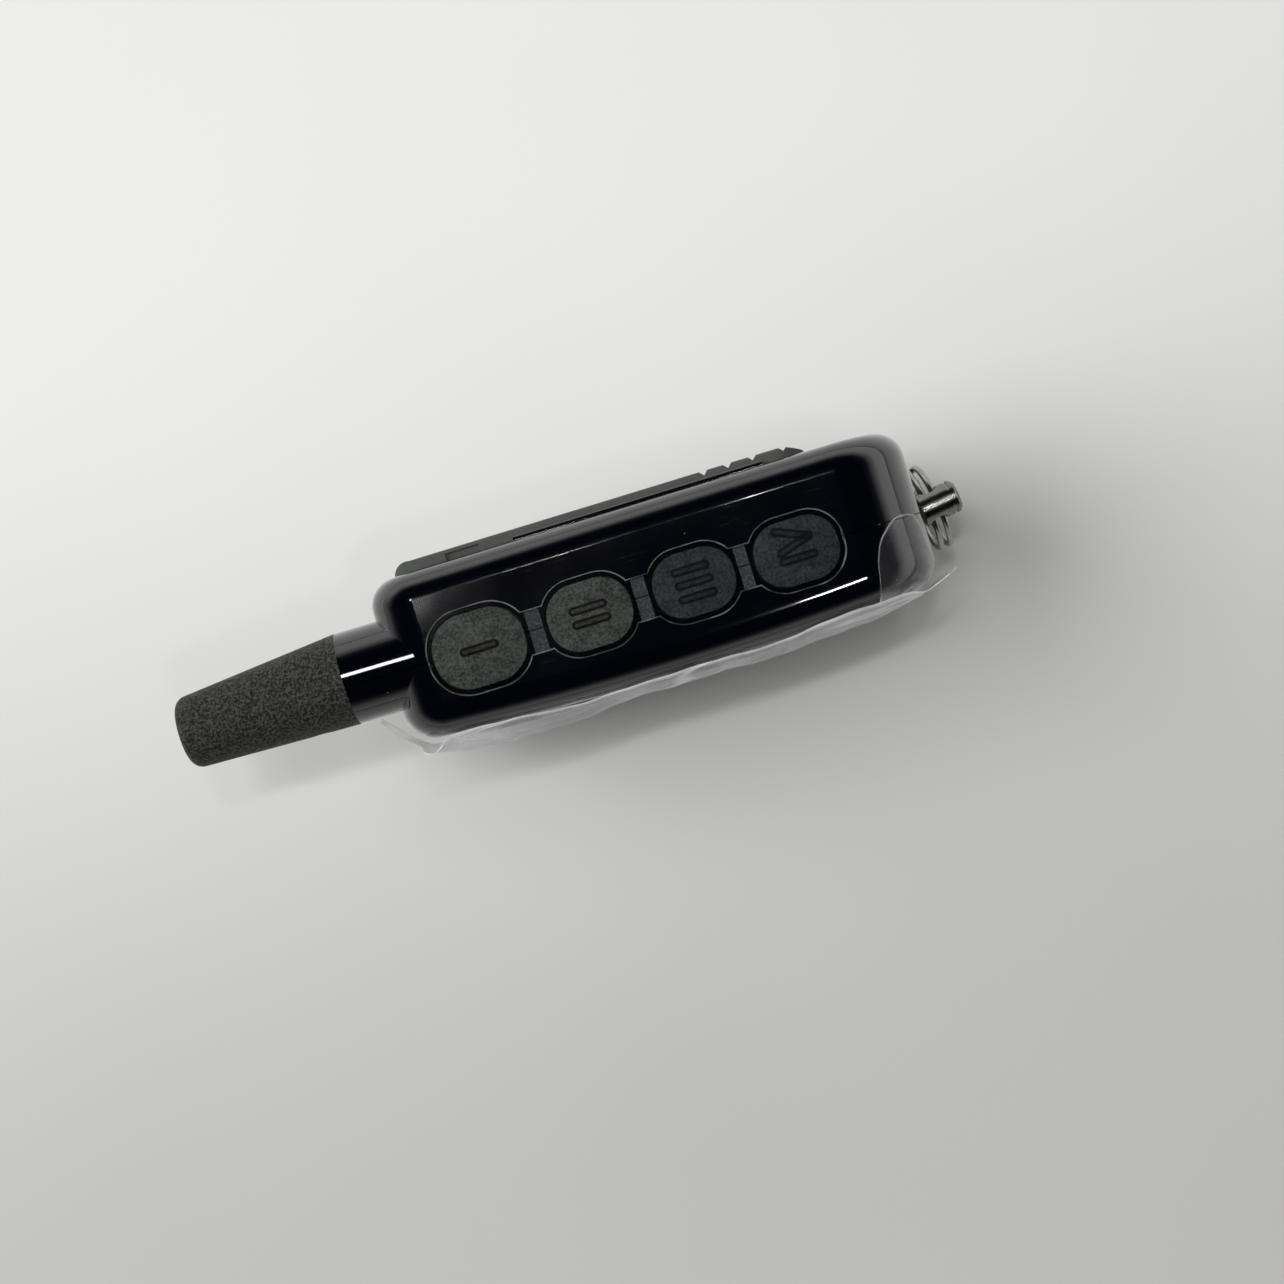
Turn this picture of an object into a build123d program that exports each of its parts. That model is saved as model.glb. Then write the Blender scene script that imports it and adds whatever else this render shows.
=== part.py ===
"""Hand-held car alarm pager: a two-shell case with a display, four side keys, an antenna and a key ring.

Sizes are in millimetres. +X runs to the key-ring end, +Y to the battery cover and +Z to the row of keys.
The origin is on the flat edge that the case stands on, below its middle, close by the plane of the parting.
"""

from build123d import *
import math
import os

# Case
case_length = 62.6
case_height = 38.0
front_depth = 9.2
back_depth = 10.4
wall = 1.6
front_crown = 1.2
ring_corner = 9.0
antenna_top_corner = 5.0
antenna_low_corner = 7.0
front_edge = 3.8
back_edge = 3.2
parting_y = 0.16
parting_gap = 0.12
overrun = 5.0
slip = 0.1

# Keys and the chain-shaped recess that they stand in
key_places = (-20.7, -8.0, 4.0, 15.8)
key_lengths = (10.7, 9.8, 9.5, 9.8)
key_widths = (8.6, 7.8, 7.5, 7.5)
key_corner_share = 0.46
key_gap = 0.15
key_proud = 0.35
key_dome = 26.0
key_flange = 0.8
key_flange_depth = 0.8
key_travel = 0.35
recess_rim = 0.45
recess_depth = 0.8
recess_step = 0.14
recess_step_depth = 0.3
web_width = 4.8
stem_length = 3.0
stem_width = 3.8
bar_length = 4.2
bar_width = 0.75
bar_pitch = 1.55
bar_relief = 0.14
vee_half_spread = 0.95
numerals = ("I", "II", "III", "IV")

# Side switches under the keys
switch_length = 6.0
switch_width = 3.6
switch_height_share = 0.32
plunger_length = 2.4
plunger_width = 1.4
plunger_reach = 1.0
plunger_sink = 0.6
plunger_room = 0.55
stem_drop = 2.8

# Antenna
collar_radius = 5.3
collar_reach = 4.9
collar_y = 1.1
collar_drop = 0.25
collar_root = 6.0
cap_length = 19.5
cap_tip_radius = 4.05
cap_tip_shift = 0.65
cap_tip_round = 1.4
cap_bore_radius = 3.5
cap_bore_length = 16.6
foot_radius = 2.5
foot_inner_length = 9.0
foot_flange = 1.2
coil_radius = 2.3
coil_wire = 0.6
coil_pitch = 1.25
coil_turns = 10
coil_start_gap = 0.45
clip_width = 1.9
clip_foot = 2.4

# Display
window_length = 44.0
window_height = 23.0
window_centre_share = 0.4632
window_corner = 3.0
lens_margin = 2.6
lens_seat = 0.8
lens_proud = 0.7
lens_round = 0.5
lens_corner = 4.5
lcd_margin = 1.4
glass_thickness = 0.7
glass_ledge = 2.0
guide_thickness = 1.1
lcd_gap = 0.12
frame_rim = 1.2
zebra_width = 1.6

# Loose protective film over the display
film_thickness = 0.16
film_low = 4.0
film_head = 2.7
film_corner = 3.0
film_place_shares = (-1.125, -1.035, -0.923, -0.553, -0.137, 0.243, 0.479, 0.671, 0.805, 0.92, 1.051)
film_depth_shares = (0.478, 0.848, 1.0815, 1.2065, 1.1196, 1.1522, 1.1141, 1.0707, 1.0272, 0.935, 0.728)
film_tab_height = 7.8
film_tab_inset = 3.3
film_bit_height = 16.8
film_bit_inset = 0.7

# Board and what it carries
board_front = -3.9
board_thickness = 1.0
board_gap = 0.4
chip_places = ((-14.0, 13.0), (2.0, 12.0), (14.5, 14.0))
chip_sizes = (7.0, 5.0, 4.0)
chip_height = 0.8
can_length = 11.6
can_width_share = 0.88
can_height = 2.4
can_x = -15.8
can_wall = 0.25
crystal_length = 4.6
crystal_width = 1.8
crystal_height = 1.7
crystal_round = 0.6
crystal_x = 22.0
buzzer_radius_share = 0.47
buzzer_height = 3.6
buzzer_hole = 0.8
buzzer_x = -4.0
motor_radius_share = 0.276
motor_length = 7.6
motor_x = 4.4
motor_bore_depth = 5.0
shaft_radius = 0.4
shaft_gap = 0.05
weight_inset = 0.15
weight_length = 3.2
weight_gap = 0.5

# Battery cell, its bay and contacts
cell_radius = 5.2
cell_length = 43.6
nub_radius = 1.9
nub_length = 0.9
cell_y = 4.75
bay_place_share = 0.2092
cell_gap = 0.35
bay_wall = 1.0
bay_middle_x = -3.6
contact_thickness = 0.4
contact_half = 4.0
spring_radius = 3.1
spring_wire = 0.5
spring_pitch = 1.0
spring_turns = 2.5
spring_foot = 0.3

# Battery cover
cover_start = -28.0
cover_stop = 20.4
cover_margin = 3.8
cover_thickness = 1.25
cover_corner = 3.5
cover_nose = 2.2
nose_bow_share = 0.7071
cover_taper = 2.4
cover_tail_thickness = 0.3
cover_lift = 0.06
cover_round = 0.45
cover_travel = 5.0
groove_places = (8.7, 11.5, 14.4, 18.0)
groove_width = 1.0
groove_depth = 0.55
side_recess_start = -21.6
side_recess_stop = -17.7
side_recess_depth = 0.5
side_recess_height = 0.8
hook_places = (-15.0, 9.0)
hook_length = 3.0
hook_stem = 1.2
hook_foot = 2.2
hook_foot_depth = 0.8
hook_inset = 1.9
rail_start = -13.8
rail_stop = 15.2
rail_width = 0.6
rail_height = 0.5
rail_gap = 0.15
rail_round = 0.35

# Screws
screw_rows = (-25.2, -26.0, 25.6, 25.6)
low_screw_share = 0.162
top_screw_drop = 7.0
clip_clearance = 0.5
screw_head_radius = 1.6
screw_head_height = 1.2
screw_radius = 0.8
screw_length = 8.8
screw_slot = 0.45
screw_slot_depth = 0.5
screw_round = 0.4
screw_slot_reach = 1.05
bore_radius = 1.8
boss_radius = 2.9
front_boss_radius = 2.1
head_seat_y = 5.4
thread_gap = 0.05

# Lug and split ring
lug_pivot_x = 28.6
lug_lean = 8.0
lug_radius = 2.0
lug_length = 5.0
lug_chamfer = 0.35
lug_groove = 0.2
lug_groove_width = 0.4
neck_radius = 1.5
neck_clearance = 0.06
neck_length = 1.2
lug_flange_radius = 2.3
lug_flange_length = 0.9
lug_flange_gap = 0.65
eye_radius = 1.3
eye_offset = 1.9
ring_radius = 5.0
ring_wire = 0.75
ring_pitch = 1.2
ring_lift = 0.2
ring_jog = 40.0
ring_jog_place = 250.0

# Places that follow from the sizes above
half_length = case_length / 2
back_inner = back_depth - wall
front_parting = parting_y - parting_gap / 2
back_parting = parting_y + parting_gap / 2
board_back = board_front + board_thickness
collar_z = case_height - collar_drop - collar_radius
collar_end = -half_length - collar_reach
recess_floor = case_height - recess_depth
flange_top = case_height - wall - slip
plunger_top = flange_top - key_flange_depth - stem_drop
switch_top = plunger_top - plunger_reach
board_top = switch_top - plunger_sink - slip
bay_half_length = (cell_length + nub_length + spring_turns * spring_pitch + spring_wire + spring_foot) / 2
bay_half_length = bay_half_length + contact_thickness + slip
bay_start = bay_middle_x - bay_half_length
bay_stop = bay_middle_x + bay_half_length
bay_half_height = cell_radius + cell_gap
cell_z = bay_place_share * case_height + bay_wall + bay_half_height
bay_lip = contact_thickness + nub_length
bay_floor = cell_y - cell_radius - cell_gap
cover_base = back_depth + cover_lift
cover_low = cover_margin
cover_high = case_height - cover_margin
window_centre_z = window_centre_share * case_height
film_high = case_height - film_head
lug_z = case_height / 2
low_screw_z = low_screw_share * case_height
clip_screw_z = board_top - slip - clip_width - clip_clearance - boss_radius
screw_heights = (low_screw_z, clip_screw_z, low_screw_z, case_height - top_screw_drop)
screw_places = tuple(zip(screw_rows, screw_heights))

# The strip of the board between the bay and the switches, which holds the taller parts
strip_low = cell_z + bay_half_height + bay_wall
switch_height = switch_height_share * (switch_top - strip_low)
strip_height = switch_top - switch_height - strip_low
strip_z = strip_low + strip_height / 2
can_width = can_width_share * strip_height
buzzer_radius = buzzer_radius_share * strip_height
motor_radius = motor_radius_share * strip_height
weight_radius = motor_radius - weight_inset


def block(x_span, y_span, z_span):
    size = [high - low for low, high in (x_span, y_span, z_span)]
    middle = [(high + low) / 2 for low, high in (x_span, y_span, z_span)]
    return Pos(*middle) * Box(*size)


def rod_x(radius, start, stop, y, z):
    disc = Plane((start, y, z), z_dir=(1, 0, 0)) * Circle(radius)
    return extrude(disc, amount=stop - start)


def rod_y(radius, start, stop, x, z):
    disc = Plane((x, start, z), z_dir=(0, 1, 0)) * Circle(radius)
    return extrude(disc, amount=stop - start)


def plate_xz(x_span, z_span, corner, start, stop):
    """A plate with rounded corners, flat to the display, from one Y to another."""
    length = x_span[1] - x_span[0]
    height = z_span[1] - z_span[0]
    middle = ((x_span[0] + x_span[1]) / 2, stop, (z_span[0] + z_span[1]) / 2)
    face = Plane(middle, x_dir=(1, 0, 0), z_dir=(0, -1, 0)) * RectangleRounded(length, height, corner)
    return extrude(face, amount=stop - start)


def save(name, shape):
    os.makedirs("parts", exist_ok=True)
    export_step(shape, "parts/" + name + ".step")


def case_outline(inset):
    """The case seen from the display side, drawn in by the given wall."""
    end = half_length - inset
    low = inset
    top = case_height - inset
    face = Face(Wire(Polyline((-end, 0, low), (end, 0, low), (end, 0, top), (-end, 0, top), close=True)))
    corners = (
        (end, top, ring_corner),
        (end, low, ring_corner),
        (-end, top, antenna_top_corner),
        (-end, low, antenna_low_corner),
    )
    for x, z, radius in corners:
        vertex = face.vertices().sort_by_distance((x, 0, z))[0]
        face = face.fillet_2d(radius - inset, [vertex])
    return face


def front_arch(offset):
    """A wide cylinder whose side is the bulging front of the case, moved in by the offset."""
    radius = (half_length**2 + front_crown**2) / (2 * front_crown)
    return Pos(0, radius - front_depth, case_height / 2) * Cylinder(radius - offset, 2 * case_height)


def case_solid(inset):
    face = case_outline(inset).moved(Pos(0, -front_depth, 0))
    solid = extrude(face, amount=front_depth + back_depth - inset, dir=(0, 1, 0)) & front_arch(inset)
    solid = fillet(solid.faces().sort_by(Axis.Y)[-1].edges(), back_edge - inset)
    return fillet(solid.faces().sort_by(Axis.Y)[0].edges(), front_edge - inset)


def key_face(number, margin):
    """One key's outline, grown by the margin, in the plane Z = 0."""
    length = key_lengths[number] + 2 * margin
    width = key_widths[number] + 2 * margin
    return Pos(key_places[number], 0, 0) * RectangleRounded(length, width, key_corner_share * width)


def chain_cut(margin, floor):
    """The recess round all keys and the webs between them, from its floor up past the case."""
    span = key_places[-1] - key_places[0]
    middle = (key_places[-1] + key_places[0]) / 2
    face = Pos(middle, 0, 0) * Rectangle(span, web_width + 2 * (margin - recess_rim))
    for number in range(len(key_places)):
        face = face + key_face(number, margin)
    return extrude(Pos(0, 0, floor) * face, amount=overrun)


def lug_frame():
    """The lug's own frame: its local Z runs out along the leaning lug."""
    lean = math.radians(lug_lean)
    return Plane((lug_pivot_x, 0, lug_z), x_dir=(0, 0, 1), z_dir=(math.cos(lean), math.sin(lean), 0))


def lug_rod(radius, start, stop):
    return extrude(lug_frame().offset(start) * Circle(radius), amount=stop - start)


# Distances along the lug from its pivot
end_face_reach = half_length - lug_pivot_x
flange_stop = end_face_reach - wall - lug_flange_gap
barrel_start = end_face_reach + neck_length
barrel_stop = barrel_start + lug_length
eye_reach = barrel_start + eye_offset


def shells():
    """Both halves of the case, with everything that is moulded in one with them."""
    outer = case_solid(0) + rod_x(
        collar_radius, collar_end, -half_length + collar_root, collar_y, collar_z
    )
    inner = case_solid(wall)
    case = outer - inner
    case = case - chain_cut(recess_rim, recess_floor)
    case = case - chain_cut(recess_rim + recess_step, case_height - recess_step_depth)
    for number in range(len(key_places)):
        hole = Pos(0, 0, flange_top) * key_face(number, 0)
        case = case - extrude(hole, amount=overrun)
    bore_stop = -half_length + collar_root + overrun
    case = case - rod_x(foot_radius + slip / 2, collar_end - overrun, bore_stop, collar_y, collar_z)
    case = case - lug_rod(neck_radius + neck_clearance, 0, barrel_start + overrun)
    bounds_x = (collar_end - overrun, half_length + overrun)
    bounds_z = (-overrun, case_height + overrun)
    front = case & block(bounds_x, (-front_depth - overrun, front_parting), bounds_z)
    back = case & block(bounds_x, (back_parting, back_depth + overrun), bounds_z)
    return front_features(front), back_features(back, inner)


def window_spans(margin):
    x_span = (-window_length / 2 - margin, window_length / 2 + margin)
    z_span = (window_centre_z - window_height / 2 - margin, window_centre_z + window_height / 2 + margin)
    return x_span, z_span


def front_features(front):
    x_span, z_span = window_spans(0)
    front = front - plate_xz(x_span, z_span, window_corner, -front_depth - overrun, board_front)
    x_span, z_span = window_spans(lens_margin + slip)
    seat = plate_xz(x_span, z_span, lens_corner + slip, -front_depth - overrun, -front_depth + overrun)
    front = front - (seat - front_arch(lens_seat + slip / 2))
    for x, z in screw_places:
        boss = rod_y(front_boss_radius, -front_depth + wall / 2, front_parting, x, z)
        front = front + (boss & front_arch(wall / 2))
        front = front - rod_y(screw_radius + thread_gap, head_seat_y - screw_length - slip, back_depth, x, z)
    return front


def back_features(back, inner):
    x_span = (bay_start - bay_wall, bay_stop + bay_wall)
    z_span = (cell_z - bay_half_height - bay_wall, cell_z + bay_half_height + bay_wall)
    back = back + (block(x_span, (bay_floor - bay_wall, back_inner + wall / 2), z_span) & inner)
    for x, z in screw_places:
        back = back + (rod_y(boss_radius, back_parting, back_inner + wall / 2, x, z) & inner)
    z_span = (cell_z - bay_half_height, cell_z + bay_half_height)
    back = back - block((bay_start, bay_stop), (bay_floor, back_inner), z_span)
    back = back - block((bay_start + bay_lip, bay_stop - bay_lip), (bay_floor, back_depth + overrun), z_span)
    for x, z in screw_places:
        back = back - rod_y(front_boss_radius + slip, bay_floor - bay_wall - overrun, back_parting, x, z)
        back = back - rod_y(screw_radius + thread_gap + slip, -overrun, back_depth, x, z)
        back = back - rod_y(bore_radius, head_seat_y, back_depth + overrun, x, z)
    for x in hook_places:
        for z in hook_heights():
            back = back - hook_slot(x, z)
    for low, high in rail_spans():
        rail = block((rail_start, rail_stop), (back_inner, back_depth + rail_height), (low, high))
        outer_z = high if high > lug_z else low
        outer_place = (0, back_depth + rail_height, outer_z)
        outer_edge = rail.edges().filter_by(Axis.X).sort_by_distance(outer_place)[0]
        back = back + fillet(outer_edge, rail_round)
    return back


def hook_heights():
    return (cover_low + hook_inset, cover_high - hook_inset)


def rail_spans():
    upper = cover_high + rail_gap
    lower = cover_low - rail_gap
    return ((lower - rail_width, lower), (upper, upper + rail_width))


def hook_slot(x, z):
    """The hole that a cover hook slides along, wide enough at its far end for the hook's foot."""
    far = x - hook_length / 2 - cover_travel - slip
    stem = hook_stem / 2 + slip
    foot = hook_foot / 2 + slip
    y_span = (back_inner - wall / 2, back_depth + overrun)
    narrow = block((far, x + hook_length / 2 + slip), y_span, (z - stem, z + stem))
    return narrow + block((far, far + hook_length + 2 * slip), y_span, (z - foot, z + foot))


def battery_cover():
    top = cover_base + cover_thickness
    tail = cover_base + cover_tail_thickness
    rise = nose_bow_share * cover_thickness
    profile = Face(
        Wire(
            [
                Line((cover_start, cover_base, 0), (cover_stop, cover_base, 0)),
                Line((cover_stop, cover_base, 0), (cover_stop, tail, 0)),
                Line((cover_stop, tail, 0), (cover_stop - cover_taper, top, 0)),
                Line((cover_stop - cover_taper, top, 0), (cover_start + cover_nose, top, 0)),
                ThreePointArc(
                    (cover_start + cover_nose, top, 0),
                    (cover_start + cover_nose - nose_bow_share * cover_nose, cover_base + rise, 0),
                    (cover_start, cover_base, 0),
                ),
            ]
        )
    )
    solid = extrude(profile, amount=case_height, dir=(0, 0, 1))
    solid = solid & plate_xz(
        (cover_start, cover_stop), (cover_low, cover_high), cover_corner, cover_base - slip, top + overrun
    )
    long_edges = [edge for edge in solid.edges().filter_by(Axis.X) if edge.center().Y > tail]
    solid = fillet(long_edges, cover_round)
    for x in groove_places:
        solid = solid - groove(x, top)
    for low, high in (
        (cover_low - overrun, cover_low + side_recess_depth),
        (cover_high - side_recess_depth, cover_high + overrun),
    ):
        y_span = (cover_base - slip, cover_base + side_recess_height)
        solid = solid - block((side_recess_start, side_recess_stop), y_span, (low, high))
    for x in hook_places:
        for z in hook_heights():
            solid = solid + hook(x, z)
    return solid


def groove(x, top):
    """A V-shaped grip groove across the whole cover."""
    half = groove_width / 2
    lift = groove_depth / half * slip
    face = Face(
        Wire(
            [
                Line((x - half - slip, top + lift, 0), (x, top - groove_depth, 0)),
                Line((x, top - groove_depth, 0), (x + half + slip, top + lift, 0)),
                Line((x + half + slip, top + lift, 0), (x - half - slip, top + lift, 0)),
            ]
        )
    )
    return extrude(face, amount=case_height, dir=(0, 0, 1))


def hook(x, z):
    x_span = (x - hook_length / 2, x + hook_length / 2)
    foot_top = back_inner - slip
    low = foot_top - hook_foot_depth
    stem = block(x_span, (low, cover_base + cover_thickness / 2), (z - hook_stem / 2, z + hook_stem / 2))
    return stem + block(x_span, (low, foot_top), (z - hook_foot / 2, z + hook_foot / 2))


def case_screws():
    """Four like screws, one solid each, with crossed slots."""
    group = []
    for x, z in screw_places:
        head_top = head_seat_y + screw_head_height
        screw = rod_y(screw_head_radius, head_seat_y, head_top, x, z)
        screw = fillet(screw.faces().sort_by(Axis.Y)[-1].edges(), screw_round)
        screw = screw + rod_y(screw_radius, head_seat_y - screw_length, head_seat_y, x, z)
        y_span = (head_top - screw_slot_depth, head_top + overrun)
        for across, along in ((screw_slot_reach, screw_slot / 2), (screw_slot / 2, screw_slot_reach)):
            screw = screw - block((x - across, x + across), y_span, (z - along, z + along))
        group.append(screw)
    return Compound(children=[Solid(screw.solid().wrapped) for screw in group])


def numeral(number):
    """Raised bars of the key's numeral, read with the antenna up."""
    text = numerals[number]
    bars = []
    count = len(text)
    for place, letter in enumerate(text):
        y = (place - (count - 1) / 2) * bar_pitch
        if letter == "I":
            bars.append((y, y))
        else:
            bars.append((y - vee_half_spread + bar_width / 2, y + vee_half_spread / 2))
            bars.append((y + 2 * vee_half_spread, y + vee_half_spread / 2))
    faces = []
    for start, stop in bars:
        slant = math.atan2(stop - start, bar_length - bar_width)
        length = math.hypot(stop - start, bar_length - bar_width) + bar_width
        face = Pos(key_places[number], (start + stop) / 2, 0) * Rot(0, 0, math.degrees(slant))
        faces.append(face * SlotOverall(length, bar_width))
    joined = faces[0]
    for face in faces[1:]:
        joined = joined + face
    return joined


def key(number):
    """One key: a domed cap with its numeral, a flange that keeps it in, and a stem for the switch."""
    x = key_places[number]
    top = case_height + key_proud
    face = Pos(0, 0, flange_top - key_flange_depth) * key_face(number, -key_gap)
    dome = Pos(x, 0, top - key_dome) * Sphere(key_dome)
    cap = extrude(face, amount=overrun) & dome
    raised = extrude(Pos(0, 0, flange_top) * numeral(number), amount=overrun)
    cap = cap + (raised & (Pos(x, 0, top - key_dome) * Sphere(key_dome + bar_relief)))
    flange = Pos(0, 0, flange_top - key_flange_depth) * key_face(number, key_flange)
    cap = cap + extrude(flange, amount=key_flange_depth)
    return cap + block(
        (x - stem_length / 2, x + stem_length / 2),
        (-stem_width / 2, stem_width / 2),
        (plunger_top, flange_top - key_flange_depth / 2),
    )


def switch_y():
    return board_back + slip / 2 + switch_width / 2


def side_switches():
    """The four switch bodies on the back of the board, each with the hole for its plunger."""
    group = []
    for x in key_places:
        y = switch_y()
        x_span = (x - switch_length / 2, x + switch_length / 2)
        y_span = (y - switch_width / 2, y + switch_width / 2)
        body = block(x_span, y_span, (switch_top - switch_height, switch_top))
        x_span = (x - plunger_length / 2 - slip, x + plunger_length / 2 + slip)
        y_span = (y - plunger_width / 2 - slip, y + plunger_width / 2 + slip)
        floor = switch_top - plunger_sink - key_travel - plunger_room
        body = body - block(x_span, y_span, (floor, switch_top + overrun))
        group.append(body)
    return Compound(children=[Solid(body.solid().wrapped) for body in group])


def switch_plunger(number):
    x = key_places[number]
    y = switch_y()
    return block(
        (x - plunger_length / 2, x + plunger_length / 2),
        (y - plunger_width / 2, y + plunger_width / 2),
        (switch_top - plunger_sink, plunger_top),
    )


def display_lens():
    x_span, z_span = window_spans(lens_margin)
    plate = plate_xz(x_span, z_span, lens_corner, -front_depth - overrun, -front_depth + overrun)
    lens = plate & front_arch(-lens_proud)
    lens = fillet(lens.faces().sort_by(Axis.Y)[0].edges(), lens_round)
    return lens - front_arch(lens_seat)


def protective_film():
    """A loose clear sheet that follows the front in shallow waves, with one corner standing off as a tab."""
    places = [share * half_length for share in film_place_shares]
    depths = [share * front_depth for share in film_depth_shares]
    outer = [(x, -depth, 0) for x, depth in zip(places, depths)]
    inner = [(x, film_thickness - depth, 0) for x, depth in zip(places, depths)]
    profile = Face(
        Wire([Spline(outer), Line(outer[-1], inner[-1]), Spline(inner), Line(inner[0], outer[0])])
    )
    sheet = extrude(profile, amount=case_height, dir=(0, 0, 1))
    deep = (-front_depth - overrun, 0)
    body_x = (film_bit_inset - half_length, half_length - film_tab_inset)
    tab_low = film_high - film_tab_height
    body = plate_xz(body_x, (film_low, film_high), film_corner, *deep)
    tab = plate_xz((0, places[-1]), (tab_low, film_high), film_corner / 2, *deep)
    bit = plate_xz((places[0], 0), (film_high - film_bit_height, tab_low), film_corner, *deep)
    return sheet & (body + tab + bit)


def lcd_depths():
    """Y of the front face, glass joint, glass back and guide back, behind the case's front wall."""
    front = -front_depth + wall + front_crown / 2 + lcd_gap
    joint = front + glass_thickness
    glass_back = joint + glass_thickness + lcd_gap
    return front, joint, glass_back, glass_back + guide_thickness


def lcd_glass():
    """Two sheets: the rear one is taller and carries the contact ledge."""
    front, joint, glass_back, guide_back = lcd_depths()
    x_span, z_span = window_spans(lcd_margin - glass_ledge)
    first = block(x_span, (front, joint), z_span)
    low, high = z_span
    second = block(x_span, (joint, joint + glass_thickness), (low - glass_ledge, high))
    return first & room, second & room


def backlight_guide():
    front, joint, glass_back, guide_back = lcd_depths()
    x_span, z_span = window_spans(lcd_margin - glass_ledge)
    return block(x_span, (glass_back, guide_back), z_span) & room


def lcd_frame():
    """The frame round the glass and the light guide, seated on the board."""
    front, joint, glass_back, guide_back = lcd_depths()
    x_span, z_span = window_spans(lcd_margin - glass_ledge + slip)
    low, high = z_span
    inner = block(x_span, (front - overrun, board_front + overrun), (low - glass_ledge, high))
    outer_x = (x_span[0] - frame_rim, x_span[1] + frame_rim)
    outer_z = (low - glass_ledge - frame_rim, high + frame_rim)
    return (block(outer_x, (joint, board_front), outer_z) - inner) & room


def zebra_strip():
    front, joint, glass_back, guide_back = lcd_depths()
    x_span, z_span = window_spans(lcd_margin - glass_ledge)
    low = z_span[0] - glass_ledge + slip
    return block(x_span, (glass_back, board_front), (low, low + zebra_width)) & room


def main_board():
    face = case_outline(wall + board_gap).moved(Pos(0, board_front, 0))
    board = extrude(face, amount=board_thickness, dir=(0, 1, 0))
    board = board & block((-case_length, case_length), (-front_depth, back_depth), (0, board_top))
    for x, z in screw_places:
        board = board - rod_y(front_boss_radius + board_gap, -front_depth, back_depth, x, z)
    return board


def on_board(x, z, length, width, height):
    x_span = (x - length / 2, x + length / 2)
    return block(x_span, (board_back, board_back + height), (z - width / 2, z + width / 2))


def board_chips():
    chips = [on_board(x, z, size, size, chip_height) for (x, z), size in zip(chip_places, chip_sizes)]
    return Compound(children=[Solid(chip.solid().wrapped) for chip in chips])


def radio_can():
    can = on_board(can_x, strip_z, can_length, can_width, can_height)
    return can - on_board(
        can_x, strip_z, can_length - 2 * can_wall, can_width - 2 * can_wall, can_height - can_wall
    )


def quartz_crystal():
    can = on_board(crystal_x, strip_z, crystal_length, crystal_width, crystal_height)
    return fillet(can.edges().filter_by(Axis.Y), crystal_round)


def buzzer():
    can = rod_y(buzzer_radius, board_back, board_back + buzzer_height, buzzer_x, strip_z)
    hole_floor = board_back + buzzer_height / 2
    hole = rod_y(buzzer_hole, hole_floor, hole_floor + buzzer_height, buzzer_x, strip_z)
    return can - hole


def motor_y():
    return board_back + motor_radius


def motor_can():
    stop = motor_x + motor_length
    can = rod_x(motor_radius, motor_x, stop, motor_y(), strip_z)
    return can - rod_x(shaft_radius + shaft_gap, stop - motor_bore_depth, stop + overrun, motor_y(), strip_z)


def motor_weight():
    """The shaft and the half-round weight that makes the case shake."""
    can_stop = motor_x + motor_length
    start = can_stop + weight_gap
    stop = start + weight_length
    y = motor_y()
    half = rod_x(weight_radius, start, stop, y, strip_z) & block(
        (start, stop), (y - weight_radius, y + weight_radius), (strip_z - weight_radius, strip_z)
    )
    hub = rod_x(2 * shaft_radius, start, stop, y, strip_z)
    return half + hub + rod_x(shaft_radius, can_stop - motor_bore_depth + weight_gap, start, y, strip_z)


def battery_cell():
    start = cell_start()
    can = rod_x(cell_radius, start, start + cell_length, cell_y, cell_z)
    can = fillet(can.edges().filter_by(GeomType.CIRCLE), cell_gap)
    end = start + cell_length
    return can + rod_x(nub_radius, end - slip, end + nub_length, cell_y, cell_z)


def cell_start():
    return bay_stop - slip - contact_thickness - nub_length - cell_length


def contact(x):
    """A square contact plate that stands across the bay."""
    return block(
        (x, x + contact_thickness),
        (cell_y - contact_half, cell_y + contact_half),
        (cell_z - contact_half, cell_z + contact_half),
    )


def helix_point(frame, radius, pitch, angle):
    lift = pitch * angle / math.tau
    return frame.from_local_coords(Vector(radius * math.cos(angle), radius * math.sin(angle), lift))


def helix_heading(frame, radius, pitch, angle):
    ahead = Vector(-radius * math.sin(angle), radius * math.cos(angle), pitch / math.tau)
    origin = frame.from_local_coords(Vector(0, 0, 0))
    return (frame.from_local_coords(ahead) - origin).normalized()


def biarc(start, start_heading, stop, stop_heading):
    """Two arcs that leave the start along its heading and reach the stop along its own."""
    gap = stop - start
    both = start_heading + stop_heading
    square = 4 - both.dot(both)
    middle = gap.dot(both)
    reach = (math.sqrt(middle**2 + square * gap.dot(gap)) - middle) / square
    joint = (start + start_heading * reach + stop - stop_heading * reach) / 2
    heading = ((stop - stop_heading * reach) - (start + start_heading * reach)).normalized()
    return [TangentArc(start, joint, tangent=start_heading), TangentArc(joint, stop, tangent=heading)]


def least_gap(points, wire, skip):
    """The least free gap between points of a wire that lie at least skip points apart along it."""
    least = math.inf
    for first in range(len(points)):
        for second in range(first + skip, len(points)):
            least = min(least, (points[first] - points[second]).length)
    return least - wire


def tube(edges, wire):
    path = Wire(edges)
    section = Plane(path.position_at(0), z_dir=path.tangent_at(0)) * Circle(wire / 2)
    return sweep(section, path=path)


def coil(name, frame, radius, wire, pitch, turns):
    """A round-wire coil along the frame's Z, in quarter turns."""
    quarter = math.tau / 4
    edges = []
    points = []
    for step in range(round(4 * turns)):
        ends = []
        for angle in (step * quarter, (step + 1) * quarter):
            ends.append(helix_point(frame, radius, pitch, angle))
            ends.append(helix_heading(frame, radius, pitch, angle))
        edges.extend(biarc(*ends))
        points.extend(edge.position_at(share) for edge in edges[-2:] for share in (0, 1 / 2))
    skip = len(points) // round(2 * turns)
    print(name, "least gap to itself", round(least_gap(points, wire, skip), 3))
    return tube(edges, wire)


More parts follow.
